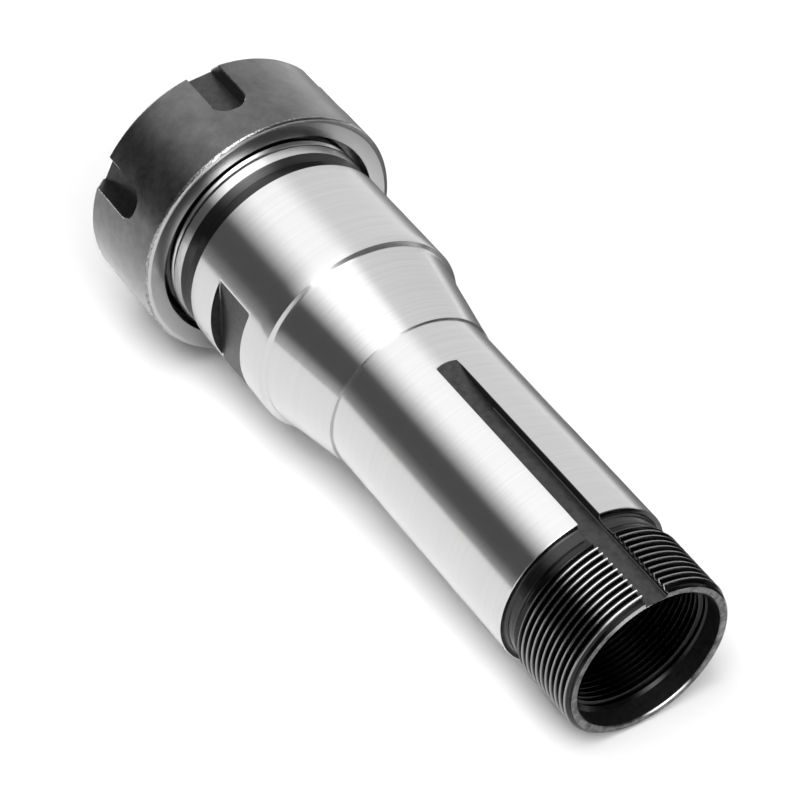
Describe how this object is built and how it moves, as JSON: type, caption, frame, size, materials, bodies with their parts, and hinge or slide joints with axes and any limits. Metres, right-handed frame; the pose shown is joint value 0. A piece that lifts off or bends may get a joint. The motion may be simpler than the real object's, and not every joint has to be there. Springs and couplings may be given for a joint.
{
  "type": "collet chuck holder",
  "caption": "Cylindrical-shank collet chuck holder with a keyed shank, tapered seat, spanner flats and a slotted clamping nut.",
  "frame": {"origin": "centre of the clamping nut's front face, on which the holder stands", "axes": "+Z along the holder's axis, from the nut to the threaded tail; -Y through the middle of the keyway; +X square to the keyway, through the middle of a spanner flat"},
  "size_m": [0.05, 0.05, 0.1369],
  "materials": {
    "ground_steel": "hardened steel, finely ground, with blackened grooves, keyway and tail thread",
    "black_oxide_steel": "hardened steel, turned, black oxide finish, worn bright on its rear edge"
  },
  "bodies": {
    "body": {"holder_body": "ground_steel"},
    "nut": {"clamping_nut": "black_oxide_steel"}
  },
  "joints": [
    {"name": "nut_turn", "type": "hinge", "parent": "body", "child": "nut", "pos_m": [0, 0, 0.01385], "axis": [0, 0, 1], "range_deg": [-2304, 408]}
  ]
}
